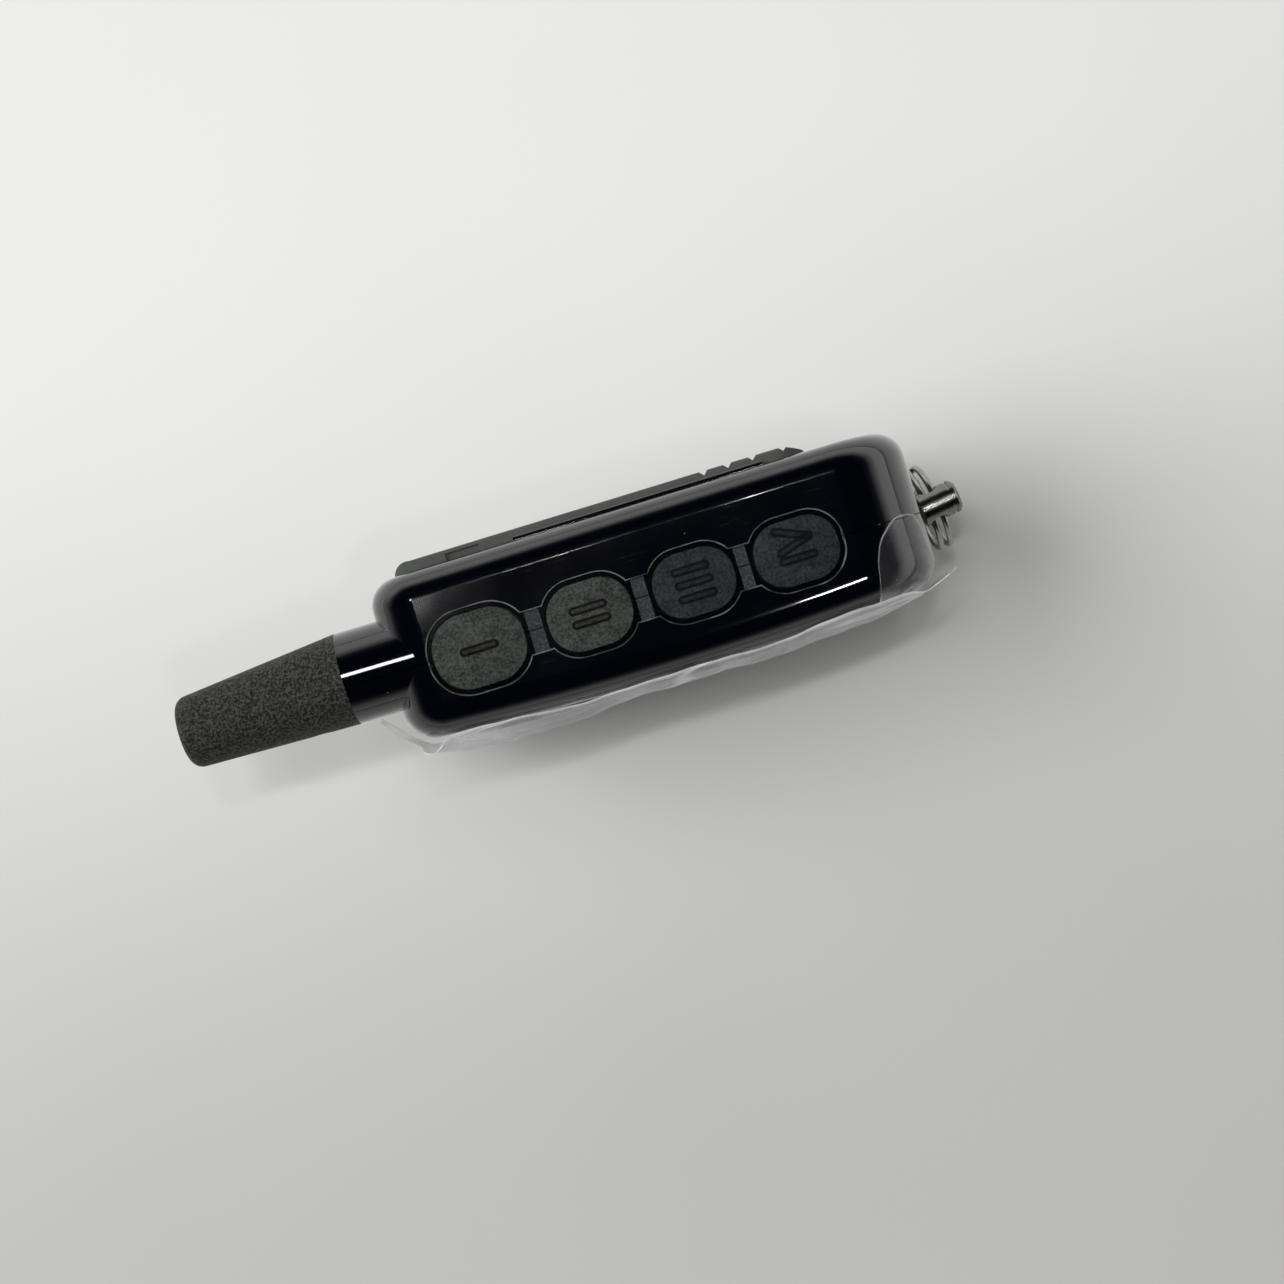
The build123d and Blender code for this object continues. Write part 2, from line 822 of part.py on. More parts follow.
def battery_spring():
    start = bay_start + contact_thickness + slip + spring_wire / 2 + spring_foot / 2
    frame = Plane((start, cell_y, cell_z), x_dir=(0, 1, 0), z_dir=(1, 0, 0))
    return coil("battery_spring", frame, spring_radius, spring_wire, spring_pitch, spring_turns)


def antenna_coil():
    start = collar_end - foot_flange - coil_wire / 2 - coil_start_gap
    frame = Plane((start, collar_y, collar_z), x_dir=(0, 1, 0), z_dir=(-1, 0, 0))
    return coil("antenna_coil", frame, coil_radius, coil_wire, coil_pitch, coil_turns)


def antenna_cap():
    """The soft cap: a cone leaning slightly to the display side, hollow for the coil."""
    tip_x = collar_end - cap_length
    base = Plane((collar_end, collar_y, collar_z), z_dir=(-1, 0, 0)) * Circle(collar_radius)
    tip = Plane((tip_x, collar_y - cap_tip_shift, collar_z), z_dir=(-1, 0, 0)) * Circle(cap_tip_radius)
    cap = loft([base, tip], ruled=True)
    cap = fillet(cap.faces().sort_by(Axis.X)[0].edges(), cap_tip_round)
    bore_start = collar_end - cap_bore_length
    return cap - rod_x(cap_bore_radius, bore_start, collar_end + overrun, collar_y, collar_z)


def antenna_foot():
    """The brass foot: its flange lies in the cap and its shank runs through the collar."""
    shank = rod_x(foot_radius, collar_end, collar_end + foot_inner_length, collar_y, collar_z)
    return shank + rod_x(cap_bore_radius - slip, collar_end - foot_flange, collar_end, collar_y, collar_z)


def antenna_clip():
    """The flat spring that joins the foot to the board."""
    start = collar_end + foot_inner_length
    z_span = antenna_clip_z()
    upright = block((start, start + contact_thickness), (board_back, collar_y + foot_radius), z_span)
    foot_y = (board_back, board_back + contact_thickness)
    return upright + block((start, start + clip_foot), foot_y, z_span)


def antenna_clip_z():
    return (board_top - clip_width - slip, board_top - slip)


def ring_lug():
    """The turned lug: a flange inside the case, a neck through its wall and a barrel with a cross hole."""
    lug = lug_rod(lug_radius, barrel_start, barrel_stop)
    lug = chamfer(lug.edges().filter_by(GeomType.CIRCLE), lug_chamfer)
    groove_start = barrel_stop - 2 * lug_chamfer - lug_groove_width
    band = lug_rod(lug_radius + overrun, groove_start, groove_start + lug_groove_width)
    lug = lug - (band - lug_rod(lug_radius - lug_groove, groove_start, groove_start + lug_groove_width))
    lug = lug + lug_rod(neck_radius, flange_stop - lug_flange_length, barrel_start)
    lug = lug + lug_rod(lug_flange_radius, flange_stop - lug_flange_length, flange_stop)
    eye = Plane(eye_point(), z_dir=eye_axis()) * Circle(eye_radius)
    return lug - extrude(eye, amount=2 * lug_radius, both=True)


def eye_point():
    return lug_frame().from_local_coords(Vector(0, 0, eye_reach))


def eye_axis():
    lean = math.radians(lug_lean)
    return Vector(-math.sin(lean), math.cos(lean), 0)


def ring_frame():
    """The ring's own frame: local Z is the ring's axis, along the lug, and local X points up."""
    centre = eye_point() + Vector(0, 0, ring_lift - ring_radius)
    lean = math.radians(lug_lean)
    return Plane(centre, x_dir=(0, 0, 1), z_dir=(math.cos(lean), math.sin(lean), 0))


def split_ring():
    """Two flat turns of wire, side by side, joined by one short jog."""
    frame = ring_frame()
    jog = math.radians(ring_jog)
    first = math.radians(ring_jog_place) + jog / 2
    turn = math.tau - jog
    edges = []

    def at(angle, side):
        return helix_point(frame.offset(side * ring_pitch / 2), ring_radius, 0, angle)

    def flat_turn(angle, side):
        for part in range(2):
            start = angle + part * turn / 2
            edges.append(
                ThreePointArc(at(start, side), at(start + turn / 4, side), at(start + turn / 2, side))
            )

    flat_turn(first, -1)
    ends = []
    for angle, side in ((first + turn, -1), (first + math.tau, 1)):
        ends.append(at(angle, side))
        ends.append(helix_heading(frame, ring_radius, 0, angle))
    edges.extend(biarc(*ends))
    flat_turn(first + math.tau, 1)
    path = Wire(edges)
    steps = round(path.length / ring_wire)
    points = [path.position_at(step / steps) for step in range(steps + 1)]
    print("split_ring least gap to itself", round(least_gap(points, ring_wire, steps // 4), 3))
    return tube(edges, ring_wire)


# The space inside the case that its contents keep to
room = case_solid(wall + slip)

front_shell, back_shell = shells()
front_glass, rear_glass = lcd_glass()
nodes = {
    "front_shell": front_shell,
    "back_shell": back_shell,
    "battery_cover": battery_cover(),
    "case_screws": case_screws(),
    "display_lens": display_lens(),
    "protective_film": protective_film(),
    "lcd_frame": lcd_frame(),
    "lcd_front_glass": front_glass,
    "lcd_rear_glass": rear_glass,
    "backlight_guide": backlight_guide(),
    "zebra_strip": zebra_strip(),
    "main_board": main_board(),
    "board_chips": board_chips(),
    "radio_can": radio_can(),
    "quartz_crystal": quartz_crystal(),
    "buzzer": buzzer(),
    "motor_can": motor_can(),
    "motor_weight": motor_weight(),
    "side_switches": side_switches(),
    "battery_cell": battery_cell(),
    "battery_spring": battery_spring(),
    "minus_contact": contact(bay_start),
    "plus_contact": contact(bay_stop - contact_thickness),
    "antenna_cap": antenna_cap(),
    "antenna_foot": antenna_foot(),
    "antenna_coil": antenna_coil(),
    "antenna_clip": antenna_clip(),
    "ring_lug": ring_lug(),
    "split_ring": split_ring(),
}
for number in range(len(key_places)):
    nodes["key_" + str(number + 1)] = key(number)
    nodes["switch_plunger_" + str(number + 1)] = switch_plunger(number)
for name, shape in nodes.items():
    save(name, shape)
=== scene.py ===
import bpy
import math
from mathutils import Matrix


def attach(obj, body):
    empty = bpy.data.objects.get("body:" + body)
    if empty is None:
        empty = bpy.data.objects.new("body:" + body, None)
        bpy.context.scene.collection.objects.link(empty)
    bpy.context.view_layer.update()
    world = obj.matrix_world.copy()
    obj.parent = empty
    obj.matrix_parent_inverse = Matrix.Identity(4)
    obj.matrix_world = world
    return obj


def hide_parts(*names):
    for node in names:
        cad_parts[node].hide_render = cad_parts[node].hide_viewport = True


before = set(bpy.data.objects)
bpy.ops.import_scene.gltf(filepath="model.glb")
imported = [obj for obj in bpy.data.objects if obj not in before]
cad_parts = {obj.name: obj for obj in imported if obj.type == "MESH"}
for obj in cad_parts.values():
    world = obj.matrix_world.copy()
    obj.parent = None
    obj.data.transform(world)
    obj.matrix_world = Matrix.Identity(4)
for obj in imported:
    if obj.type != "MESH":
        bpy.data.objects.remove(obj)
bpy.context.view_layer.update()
mm = 0.001

# The view: the fob stands on its long narrow edge and is seen from straight above its row of keys,
# turned so that the antenna points down to the left.
camera_height = 240 * mm
key_top = 38 * mm
view_width = 141.2 * mm
view_middle = (-3.4 * mm, -4.6 * mm)
view_turn = math.radians(17)
camera_data = bpy.data.cameras.new("camera")
camera_data.lens = 50
camera_data.sensor_width = camera_data.lens * view_width / camera_height
camera = bpy.data.objects.new("camera", camera_data)
bpy.context.scene.collection.objects.link(camera)
camera.location = (*view_middle, key_top + camera_height)
camera.rotation_euler = (0, 0, -view_turn)
bpy.context.scene.camera = camera
bpy.context.scene.view_settings.view_transform = "Standard"

# The table top: pale grey laminate, dull, with a faint cloudiness. Its colour is painted paler towards the
# back, a painted falloff of light. It takes the fob's soft shadow. Far from the fob it fades to an even
# grey, so that its far edge hardly shows.
floor_reach = 4
front_shaded_tones = ((0.56, 0.56, 0.545), (0.60, 0.60, 0.58))
back_lit_tones = ((0.86, 0.86, 0.845), (0.90, 0.90, 0.885))
fade_tone = (0.66, 0.66, 0.65)
fade_distance = 700
fade_width = 450
paler_across = 0.009
paler_along = 0.0005
paler_middle = 0.55
black = (0.0, 0.0, 0.0)


class Signal:
    """A number or colour that changes over a surface. Sums and products on it add Math nodes."""

    def __init__(self, nodes, socket):
        self.nodes = nodes
        self.socket = socket

    def math(self, operation, first, second):
        return self.nodes.node("ShaderNodeMath", {"operation": operation}, {0: first, 1: second})

    def __add__(self, other):
        return self.math("ADD", self, other)

    def __radd__(self, other):
        return self.math("ADD", other, self)

    def __sub__(self, other):
        return self.math("SUBTRACT", self, other)

    def __rsub__(self, other):
        return self.math("SUBTRACT", other, self)

    def __mul__(self, other):
        return self.math("MULTIPLY", self, other)

    def __rmul__(self, other):
        return self.math("MULTIPLY", other, self)

    def size(self):
        return self.math("ABSOLUTE", self, 0)

    def root(self):
        return self.math("SQRT", self, 0)

    def at_least(self, floor):
        return self.math("MAXIMUM", self, floor)

    def above(self, edge, soft):
        """1 where the signal is above the edge, with a soft step."""
        return self.nodes.node(
            "ShaderNodeMapRange",
            {"interpolation_type": "SMOOTHSTEP"},
            {"Value": self, "From Min": edge - soft, "From Max": edge + soft},
        )

    def below(self, edge, soft):
        return 1 - self.above(edge, soft)

    def within(self, low, high, soft):
        """1 where the signal lies between two edges."""
        return self.above(low, soft) * self.below(high, soft)


class Nodes:
    """The shader nodes of a finish or of the room, with a method that adds any node."""

    def __init__(self, tree, place):
        self.tree = tree
        self.place = self.node("ShaderNodeTexCoord", output=place)

    def join(self, value, socket):
        if isinstance(value, Signal):
            self.tree.links.new(value.socket, socket)
        else:
            socket.default_value = value

    def node(self, kind, settings=None, inputs=None, output=0):
        node = self.tree.nodes.new(kind)
        for name, value in (settings or {}).items():
            if name == "stops":
                ramp = node.color_ramp
                while len(ramp.elements) < len(value):
                    ramp.elements.new(1)
                for element, (position, colour) in zip(ramp.elements, value):
                    element.position = position
                    element.color = (*colour, 1)
            else:
                setattr(node, name, value)
        for name, value in (inputs or {}).items():
            self.join(value, node.inputs[name])
        return Signal(self, node.outputs[output])

    def parts(self, vector):
        """The X, Y and Z of a vector."""
        split = self.node("ShaderNodeSeparateXYZ", {}, {0: vector}).socket.node
        return [Signal(self, socket) for socket in split.outputs]

    def mix(self, share, first, second):
        """The first colour where the share is 0, and the second where it is 1."""
        colours = [(*colour, 1) if isinstance(colour, tuple) else colour for colour in (first, second)]
        return self.node("ShaderNodeMix", {"data_type": "RGBA"}, {0: share, 6: colours[0], 7: colours[1]}, 2)


class Finish(Nodes):
    """A material with one Principled shader. Places and sizes in it are millimetres on the fob."""

    def __init__(self, name, **values):
        self.material = bpy.data.materials.new(name)
        self.material.use_nodes = True
        super().__init__(self.material.node_tree, "Object")
        self.shader = self.tree.nodes["Principled BSDF"]
        self.set(**values)

    def set(self, **values):
        for name, value in values.items():
            if name.endswith("color") and not isinstance(value, Signal):
                value = (*value, 1)
            self.join(value, self.shader.inputs[name.replace("_", " ").title().replace("Ior", "IOR")])

    def axes(self):
        """The place along the fob, across it and up from the table."""
        return [part * (1 / mm) for part in self.parts(self.place)]

    def noise(self, grain, detail=2.0, rough=0.5, stretch=(1, 1, 1)):
        """Noise with grains of the given size."""
        place = self.node("ShaderNodeMapping", {}, {"Vector": self.place, "Scale": stretch})
        inputs = {"Vector": place, "Scale": 1 / (grain * mm), "Detail": detail, "Roughness": rough}
        return self.node("ShaderNodeTexNoise", {}, inputs, "Fac")

    def bump(self, height, depth, strength):
        """Relief of the given depth."""
        inputs = {"Height": height, "Distance": depth * mm, "Strength": strength}
        self.set(normal=self.node("ShaderNodeBump", {}, inputs))


floor_mesh = bpy.data.meshes.new("floor")
floor_corners = [(x * floor_reach, y * floor_reach, 0) for x, y in ((-1, -1), (1, -1), (1, 1), (-1, 1))]
floor_mesh.from_pydata(floor_corners, [], [(0, 1, 2, 3)])
floor = bpy.data.objects.new("floor", floor_mesh)
bpy.context.scene.collection.objects.link(floor)
table = Finish("table_top", roughness=0.55, specular_ior_level=0.3)
cloud = table.noise(60, detail=1.0)
along, across = table.axes()[:2]
# Painted light: the laminate is paler towards the back and darker towards the front, standing in for the
# fall of light across the table
painted_light_falloff = (across * paler_across + along * paler_along + paler_middle).above(0.5, 0.6)
laminate = table.mix(painted_light_falloff, table.mix(cloud, *front_shaded_tones), table.mix(cloud, *back_lit_tones))
distance = table.node("ShaderNodeVectorMath", {"operation": "LENGTH"}, {0: table.place}, "Value") * (1 / mm)
distant = distance.above(fade_distance, fade_width)
distant = distant * table.node("ShaderNodeLightPath", output="Is Camera Ray")
table.set(
    base_color=table.mix(distant, laminate, black),
    emission_color=table.mix(distant, black, fade_tone),
    emission_strength=1.0,
)
table.bump(table.noise(0.5, detail=3.0), depth=0.02, strength=0.2)
floor_mesh.materials.append(table.material)

# The room round the table: a ceiling that is dark straight above, and walls that are pale near the
# horizon, paler behind the fob than in front of it. The camera itself sees an even grey.
back_stops = (
    (0.0, (1.0, 1.0, 0.985)),
    (0.3, (1.0, 1.0, 1.0)),
    (0.43, (0.5, 0.5, 0.51)),
    (0.56, (0.05, 0.05, 0.05)),
    (0.7, (0.001, 0.001, 0.001)),
)
front_stops = (
    (0.0, (0.55, 0.55, 0.54)),
    (0.2, (0.4, 0.4, 0.4)),
    (0.36, (0.1, 0.1, 0.1)),
    (0.5, (0.01, 0.01, 0.01)),
    (0.65, (0.001, 0.001, 0.001)),
)
even_grey = (0.74, 0.74, 0.73)
world = bpy.data.worlds.new("world")
world.use_nodes = True
bpy.context.scene.world = world
room = Nodes(world.node_tree, "Generated")
to_right, to_back, to_ceiling = room.parts(room.place)
behind = (to_back + 0.6 * to_right).above(-0.05, 0.5)
back_tone = room.node("ShaderNodeValToRGB", {"stops": back_stops}, {0: to_ceiling})
front_tone = room.node("ShaderNodeValToRGB", {"stops": front_stops}, {0: to_ceiling})
seen = room.node("ShaderNodeLightPath", output="Is Camera Ray")
room_tone = room.mix(seen, room.mix(behind, front_tone, back_tone), even_grey)
room.join(room_tone, world.node_tree.nodes["Background"].inputs[0])

# The lamps: four small soft boxes that draw the bright lines on the gloss, and a large window light
# from the left that isn't seen in it. Each has a name, a place, a length and a width in metres, and watts.
lamps = (
    ("left_tube", (-0.065, 0.15, 1.0), 0.09, 0.035, 1.1),
    ("left_panel", (-0.17, 0.15, 1.0), 0.09, 0.2, 0.8),
    ("right_tube", (0.09, 0.16, 1.0), 0.05, 0.035, 0.6),
    ("front_tube", (0.135, -0.20, 1.0), 0.08, 0.03, 0.42),
    ("window_light", (-1.15, 0.4, 1.05), 1.2, 1.2, 24.0),
)
for name, spot, length, width, power in lamps:
    lamp_data = bpy.data.lights.new(name, "AREA")
    lamp_data.shape = "RECTANGLE"
    lamp_data.size = length
    lamp_data.size_y = width
    lamp_data.energy = power
    lamp = bpy.data.objects.new(name, lamp_data)
    lamp.location = spot
    lamp.visible_glossy = name != "window_light"
    aim = -lamp.location
    lamp.rotation_euler = aim.to_track_quat("-Z", "Y").to_euler()
    bpy.context.scene.collection.objects.link(lamp)

# The two halves of the case: injection-moulded ABS in blue-black, polished in the mould, lacquered and
# screwed together along the parting line. Hairlines and a little dust lie on the gloss. The webs between
# the keys are spark-eroded, and a thin highlight, broken into patches, is painted on the rim of the recess
# round them.
key_places = (-20.7, -8.0, 4.0, 15.8)
key_lengths = (10.7, 9.8, 9.5, 9.8)
key_margin = 0.42
recess_middle = -2.4
recess_half_length = 24.5
recess_half_width = 5.3
web_half_width = 2.5
web_low = 36.9
web_high = 37.3
rim_low = 37.6
rim_high = 37.8
lacquer_tones = ((0.0008, 0.0011, 0.0026), (0.0012, 0.0015, 0.0038))
web_tones = ((0.004, 0.005, 0.006), (0.05, 0.054, 0.06))
rim_highlight_tone = (0.09, 0.10, 0.105)
dust_tone = (0.35, 0.35, 0.34)
dust_spacing = 2.2
dust_radius = 0.05


def specks(finish, spacing, radius):
    """1 in round specks of the given radius, one in each cell of the given spacing."""
    inputs = {"Vector": finish.place, "Scale": 1 / (spacing * mm)}
    off_centre = finish.node("ShaderNodeTexVoronoi", {}, inputs, "Distance")
    return off_centre.below(radius / spacing, 0.3 * radius / spacing)


def dress(finish, *names):
    """Puts the finish on the named pieces."""
    for name in names:
        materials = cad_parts[name].data.materials
        materials.clear()
        materials.append(finish.material)


gloss = Finish("case_gloss", coat_roughness=0.02, coat_ior=1.6, specular_ior_level=0.35)
smear = gloss.noise(9, detail=3.0, rough=0.6)
dust = specks(gloss, dust_spacing, dust_radius) * gloss.noise(5, detail=1.0).above(0.55, 0.05)
hairline = gloss.noise(0.25, stretch=(0.06, 1, 1)).above(0.68, 0.03)
spark = gloss.noise(0.3, detail=3.0, rough=0.7).above(0.52, 0.14)
along, across, up = gloss.axes()
key_row = across.size().below(recess_half_width, 0.1)
key_row = key_row * (along - recess_middle).size().below(recess_half_length, 0.1)
web = key_row * up.within(web_low, web_high, 0.05) * across.size().below(web_half_width, 0.05)
for place, length in zip(key_places, key_lengths):
    web = web * (along - place).size().above(length / 2 + key_margin, 0.04)
# Painted highlight: a pale line on the rim of the recess, broken into patches, standing in for light caught
# by its edge
highlight_breaks = 0.3 + 0.7 * gloss.noise(2.5).above(0.5, 0.12)
painted_rim_highlight = key_row * up.within(rim_low, rim_high, 0.03) * highlight_breaks
body = gloss.mix(web, gloss.mix(smear, *lacquer_tones), gloss.mix(spark, *web_tones))
body = gloss.mix(painted_rim_highlight, body, rim_highlight_tone)
gloss.set(
    base_color=gloss.mix(dust, body, dust_tone),
    roughness=0.04 + smear * 0.06 + hairline * 0.04 + dust * 0.4 + web * 0.4 + painted_rim_highlight * 0.2,
    coat_weight=1 - web,
)
waviness = gloss.noise(7, detail=1.0) + gloss.noise(2.4, detail=1.0) * 0.08
gloss.bump(waviness + hairline * 0.0008 + web * spark * 0.8, depth=0.05, strength=0.5)
dress(gloss, "front_shell", "back_shell")

# The four keys: moulded silicone-faced caps with a fine spark-eroded grain, each with its numeral
# standing up as bars. Painted shade runs round the foot of each bar and darkens the bar a little. The two
# keys by the antenna are greener.
green_tones = ((0.014, 0.0165, 0.014), (0.066, 0.072, 0.063))
blue_tones = ((0.006, 0.0075, 0.0085), (0.030, 0.034, 0.038))
key_tones = (green_tones, green_tones, blue_tones, blue_tones)
bar_shade_tone = (0.0005, 0.0005, 0.0005)
key_face = 37.5
bar_half_width = 0.2
bar_shade_reach = 0.5
numeral_half_run = 1.725
# The bars run along the fob. Each has its place across the key at its start and at its end
numeral_bars = (
    ((0, 0),),
    ((-0.775, -0.775), (0.775, 0.775)),
    ((-1.55, -1.55), (0, 0), (1.55, 1.55)),
    ((-0.775, -0.775), (0.2, 1.25), (2.675, 1.25)),
)


def from_bar(along, across, start, stop):
    """The distance on the key's face to the middle line of one bar of its numeral."""
    slant = math.atan2(stop - start, 2 * numeral_half_run)
    half = math.hypot(stop - start, 2 * numeral_half_run) / 2
    middle = (start + stop) / 2
    run = along * math.cos(slant) + (across - middle) * math.sin(slant)
    side = (across - middle) * math.cos(slant) - along * math.sin(slant)
    beyond = (run.size() - half).at_least(0)
    return (beyond * beyond + side * side).root()


for number, (place, bars, tones) in enumerate(zip(key_places, numeral_bars, key_tones), 1):
    keycap = Finish("key_rubber_" + str(number), specular_ior_level=0.15)
    grain = keycap.noise(0.34, detail=3.0, rough=0.7).above(0.5, 0.09)
    patch = keycap.noise(1.6, detail=3.0, rough=0.6).above(0.5, 0.2)
    along, across, up = keycap.axes()
    top = up.above(key_face, 0.2)
    # Painted shade: black round the foot of each raised bar, where its shadow falls, and a little darkening
    # on the bar itself
    painted_bar_shade = 0
    for start, stop in bars:
        near = from_bar(along - place, across, start, stop)
        shade = 0.45 + 0.55 * near.above(bar_half_width, 0.06)
        painted_bar_shade = painted_bar_shade + shade * near.below(bar_shade_reach, 0.06) * top
    rubber = keycap.mix(grain * 0.6 + patch * 0.35, *tones)
    keycap.set(base_color=keycap.mix(painted_bar_shade, rubber, bar_shade_tone), roughness=0.62 - patch * 0.12)
    keycap.bump(grain + patch * 0.4, depth=0.03, strength=0.6)
    dress(keycap, "key_" + str(number))

# The antenna cap: soft thermoplastic with a leathery grain, pulled over the brass foot, with a faint
# mould line along its top and a smoother band at its mouth.
cap_middle = 0.9
cap_mouth = -37.1
mould_line_half_width = 0.12
cap_tones = ((0.008, 0.008, 0.0075), (0.078, 0.078, 0.072))
cap = Finish("cap_rubber", specular_ior_level=0.15)
grain = cap.noise(0.3, detail=3.0, rough=0.7).above(0.52, 0.12)
blotch = cap.noise(3)
along, across = cap.axes()[:2]
mould_line = (across - cap_middle).size().below(mould_line_half_width, 0.05)
mouth = along.above(cap_mouth, 0.15)
cap.set(
    base_color=cap.mix(grain * 0.8 + mould_line * 0.2, *cap_tones),
    roughness=0.48 + blotch * 0.12 - mouth * 0.1,
)
cap.bump(grain * 0.8 + mould_line * 0.3 + mouth * 0.3, depth=0.06, strength=0.8)
dress(cap, "antenna_cap")

# The battery cover: matte ABS with a fine spark texture, hooked into the back shell. Its ridges are
# rubbed a little smoother where fingers push it.
ridge_face = 11.62
cover_tones = ((0.042, 0.045, 0.039), (0.078, 0.082, 0.072))
matte = Finish("cover_matte", specular_ior_level=0.45)
grain = matte.noise(0.18, detail=3.0, rough=0.6)
patch = matte.noise(4)
across = matte.axes()[1]
rubbed = across.above(ridge_face, 0.03) * patch.above(0.5, 0.1)
matte.set(
    base_color=matte.mix(grain * 0.6 + patch * 0.4, *cover_tones),
    roughness=0.52 + grain * 0.12 - rubbed * 0.14,
)
matte.bump(grain, depth=0.03, strength=0.6)
dress(matte, "battery_cover")

# The display window: a clear acrylic plate with a black printed border on its back, glued in its seat.
# The border leaves a clear field in front of the display.
window_half_length = 22.0
window_low = 6.1
window_high = 29.1
lens = Finish("lens_clear", base_color=(0.004, 0.004, 0.006), coat_weight=1.0, coat_roughness=0.02, ior=1.49)
along, up = lens.axes()[::2]
field = along.size().below(window_half_length, 0.03) * up.within(window_low, window_high, 0.03)
border = 1 - field
swirl = lens.noise(6, detail=3.0)
lens.set(alpha=border * 0.86 + 0.14, roughness=0.03 + swirl * 0.05)
lens.bump(lens.noise(12, detail=1.0), depth=0.02, strength=0.3)
dress(lens, "display_lens")

# The display: two glasses with grey-green liquid crystal between them over a milky light guide, in a
# white moulded frame, joined to the board by a striped rubber strip.
glass_tones = ((0.16, 0.19, 0.15), (0.21, 0.24, 0.19))
guide_tones = ((0.62, 0.66, 0.66), (0.85, 0.86, 0.84))
dot_spacing = 0.9
dot_radius = 0.28
zebra_tones = ((0.02, 0.02, 0.02), (0.32, 0.3, 0.28))
zebra_pitch = 2


def grained(name, *pieces, tones, roughness, relief, grain, detail=2.0, rough=0.5, along=1, **values):
    """A finish whose tone, dullness and relief follow one grain, put on the named pieces. Roughness is a
    least value and what the grain adds, and relief is a depth and a strength. The grain is drawn out along
    the fob where along is below 1."""
    finish = Finish(name, **values)
    noise = finish.noise(grain, detail, rough, (along, 1, 1))
    finish.set(base_color=finish.mix(noise, *tones), roughness=roughness[0] + noise * roughness[1])
    finish.bump(noise, *relief)
    dress(finish, *pieces)


crystal_glass = Finish("lcd_glass", ior=1.52, coat_weight=0.6, coat_roughness=0.03)
haze = crystal_glass.noise(8)
crystal_glass.set(
    base_color=crystal_glass.mix(haze, *glass_tones),
    alpha=0.55 + haze * 0.1,
    roughness=0.12 + haze * 0.06,
)
crystal_glass.bump(haze, depth=0.01, strength=0.2)
dress(crystal_glass, "lcd_front_glass", "lcd_rear_glass")

guide = Finish("guide_clear", ior=1.49)
dots = specks(guide, dot_spacing, dot_radius)
guide.set(base_color=guide.mix(dots, *guide_tones), roughness=0.25 + dots * 0.3)
guide.bump(dots, depth=0.02, strength=0.4)
dress(guide, "backlight_guide")

grained(
    "frame_white", "lcd_frame",
    tones=((0.66, 0.66, 0.62), (0.76, 0.76, 0.72)),
    roughness=(0.4, 0.2), relief=(0.02, 0.5), grain=0.3, specular_ior_level=0.4,
)

zebra = Finish("zebra_rubber")
bands = zebra.node(
    "ShaderNodeTexWave",
    {"bands_direction": "X"},
    {"Vector": zebra.place, "Scale": 1 / (zebra_pitch * mm), "Distortion": 0.0},
)
bands = zebra.node("ShaderNodeRGBToBW", {}, {0: bands})
zebra.set(base_color=zebra.mix(bands, *zebra_tones), roughness=0.6 + bands * 0.2)
zebra.bump(bands, depth=0.02, strength=0.4)
dress(zebra, "zebra_strip")

# The protective film: a thin clear polyester sheet that came over the display and has begun to lift. It
# bulges in shallow waves along the front, leans back over the case's rounded edge, and stands off as a
# tab at each end.
film_places = (-35.2, -32.4, -28.9, -17.3, -4.3, 7.6, 15.0, 21.0, 25.2, 28.8, 32.9)
film_depths = (4.4, 7.8, 9.95, 11.1, 10.3, 10.6, 10.25, 9.85, 9.45, 8.6, 6.7)
film_top_places = (-35.2, -34.0, -31.2, -30.2, -24.0, -12.0, 0.0, 10.0, 20.0, 27.4, 29.0, 31.5, 32.9)
film_tops = (24.0, 26.6, 27.2, 34.2, 36.3, 35.7, 36.4, 35.9, 36.7, 36.2, 35.6, 35.0, 33.2)
film_foot_places = (-35.2, -33.4, -31.0, -29.6, -20.0, 0.0, 20.0, 27.0, 28.4, 30.4, 32.9)
film_feet = (22.0, 19.2, 17.8, 5.4, 4.1, 4.4, 4.1, 5.4, 26.6, 27.7, 29.4)
film_columns = 220
film_rows = 44
film_thickness = 0.12
film_deepest = 11.08
# The bright cut edge: its width, and the step along the fob that one column of points counts for
film_hem = 0.8
film_hem_step = 0.35
# Each wave of the film has a height, a run along the fob, a run up the sheet and a start
film_ripples = ((0.13, 0.55, 2.2, 0), (0.07, 1.3, -4, 1))
film_sway = (0.08, 0.25, 4, 0)
lean_start = 31.9
lean_height = 3.6
lean_end = 29.6
lean_fade = 3
film_stand_off = 0.38
case_half_length = 31.3
edge_round = 3.8
edge_height = 34.2
edge_middle = 5.4
front_bow = 1.2
# The haze starts at a height, and clears where the sheet lies on the case, behind a line along its edge
haze_height = 32.2
clear_line = -7.6
clear_tones = ((0.80, 0.82, 0.82), (0.96, 0.96, 0.98))


def between(place, places, values):
    """The value at a place on a smooth line through the given points."""
    last = len(places) - 1
    step = 0
    while step < last - 1 and places[step + 1] < place:
        step += 1
    width = places[step + 1] - places[step]
    share = (place - places[step]) / width

    def slope(at):
        if at in (0, last):
            near = min(at, last - 1)
            return (values[near + 1] - values[near]) / (places[near + 1] - places[near])
        before = (values[at] - values[at - 1]) / (places[at] - places[at - 1])
        after = (values[at + 1] - values[at]) / (places[at + 1] - places[at])
        return 0 if before * after <= 0 else 2 * before * after / (before + after)

    square = share * share
    cube = square * share
    start = values[step] * (2 * cube - 3 * square + 1) + values[step + 1] * (3 * square - 2 * cube)
    return start + width * ((cube - 2 * square + share) * slope(step) + (cube - square) * slope(step + 1))


